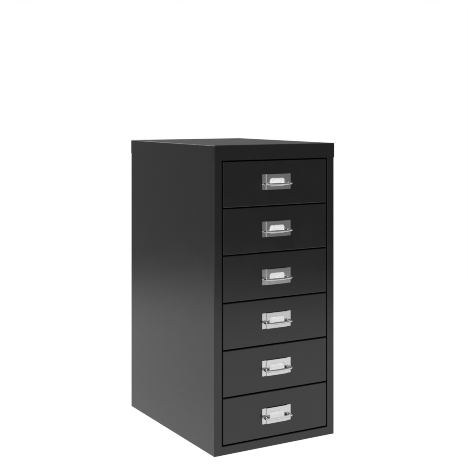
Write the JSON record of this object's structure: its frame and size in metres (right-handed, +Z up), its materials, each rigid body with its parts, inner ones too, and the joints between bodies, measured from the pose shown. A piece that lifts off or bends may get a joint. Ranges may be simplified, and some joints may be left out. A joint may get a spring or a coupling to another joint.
{
  "type": "drawer cabinet",
  "caption": "Free-standing sheet-steel cabinet with a stack of equal drawers that slide out of the front, each with a bright card-holder pull.",
  "frame": {"origin": "on the floor, under the middle of the whole object's box", "axes": "+X to the right along the front, +Z up, the drawers open towards -Y"},
  "size_m": [0.279, 0.3924, 0.59],
  "materials": {
    "paint": "satin black powder coat",
    "bright_plate": "bright nickel plate",
    "card": "matt white card",
    "zinc_steel": "zinc-plated steel",
    "nylon": "natural nylon",
    "rubber": "matt black rubber",
    "foot_plastic": "black moulded plastic"
  },
  "bodies": {
    "carcass": {"top_cap": "paint", "left_side_panel": "paint", "right_side_panel": "paint", "back_panel": "paint", "base_panel": "paint", "runner_pair_1": "zinc_steel", "runner_pair_2": "zinc_steel", "runner_pair_3": "zinc_steel", "runner_pair_4": "zinc_steel", "runner_pair_5": "zinc_steel", "runner_pair_6": "zinc_steel", "runner_pads": "nylon", "closing_buffers": "rubber", "glide_feet": "foot_plastic"},
    "drawer_1": {"drawer_front_1": "paint", "front_backing_1": "paint", "drawer_tray_1": "paint", "drawer_back_1": "paint", "rear_shoes_1": "nylon", "handle_1": "bright_plate"},
    "label_1": {"label_card_1": "card"},
    "drawer_2": {"drawer_front_2": "paint", "front_backing_2": "paint", "drawer_tray_2": "paint", "drawer_back_2": "paint", "rear_shoes_2": "nylon", "handle_2": "bright_plate"},
    "label_2": {"label_card_2": "card"},
    "drawer_3": {"drawer_front_3": "paint", "front_backing_3": "paint", "drawer_tray_3": "paint", "drawer_back_3": "paint", "rear_shoes_3": "nylon", "handle_3": "bright_plate"},
    "label_3": {"label_card_3": "card"},
    "drawer_4": {"drawer_front_4": "paint", "front_backing_4": "paint", "drawer_tray_4": "paint", "drawer_back_4": "paint", "rear_shoes_4": "nylon", "handle_4": "bright_plate"},
    "label_4": {"label_card_4": "card"},
    "drawer_5": {"drawer_front_5": "paint", "front_backing_5": "paint", "drawer_tray_5": "paint", "drawer_back_5": "paint", "rear_shoes_5": "nylon", "handle_5": "bright_plate"},
    "label_5": {"label_card_5": "card"},
    "drawer_6": {"drawer_front_6": "paint", "front_backing_6": "paint", "drawer_tray_6": "paint", "drawer_back_6": "paint", "rear_shoes_6": "nylon", "handle_6": "bright_plate"},
    "label_6": {"label_card_6": "card"}
  },
  "joints": [
    {"name": "drawer_1_slide", "type": "slide", "parent": "carcass", "child": "drawer_1", "axis": [0, -1, 0], "range_m": [0, 0.285]},
    {"name": "drawer_2_slide", "type": "slide", "parent": "carcass", "child": "drawer_2", "axis": [0, -1, 0], "range_m": [0, 0.285]},
    {"name": "drawer_3_slide", "type": "slide", "parent": "carcass", "child": "drawer_3", "axis": [0, -1, 0], "range_m": [0, 0.285]},
    {"name": "drawer_4_slide", "type": "slide", "parent": "carcass", "child": "drawer_4", "axis": [0, -1, 0], "range_m": [0, 0.285]},
    {"name": "drawer_5_slide", "type": "slide", "parent": "carcass", "child": "drawer_5", "axis": [0, -1, 0], "range_m": [0, 0.285]},
    {"name": "drawer_6_slide", "type": "slide", "parent": "carcass", "child": "drawer_6", "axis": [0, -1, 0], "range_m": [0, 0.285]},
    {"name": "label_1_lift", "type": "slide", "parent": "drawer_1", "child": "label_1", "axis": [0, 0, 1], "range_m": [0, 0.03]},
    {"name": "label_2_lift", "type": "slide", "parent": "drawer_2", "child": "label_2", "axis": [0, 0, 1], "range_m": [0, 0.03]},
    {"name": "label_3_lift", "type": "slide", "parent": "drawer_3", "child": "label_3", "axis": [0, 0, 1], "range_m": [0, 0.03]},
    {"name": "label_4_lift", "type": "slide", "parent": "drawer_4", "child": "label_4", "axis": [0, 0, 1], "range_m": [0, 0.03]},
    {"name": "label_5_lift", "type": "slide", "parent": "drawer_5", "child": "label_5", "axis": [0, 0, 1], "range_m": [0, 0.03]},
    {"name": "label_6_lift", "type": "slide", "parent": "drawer_6", "child": "label_6", "axis": [0, 0, 1], "range_m": [0, 0.03]}
  ]
}
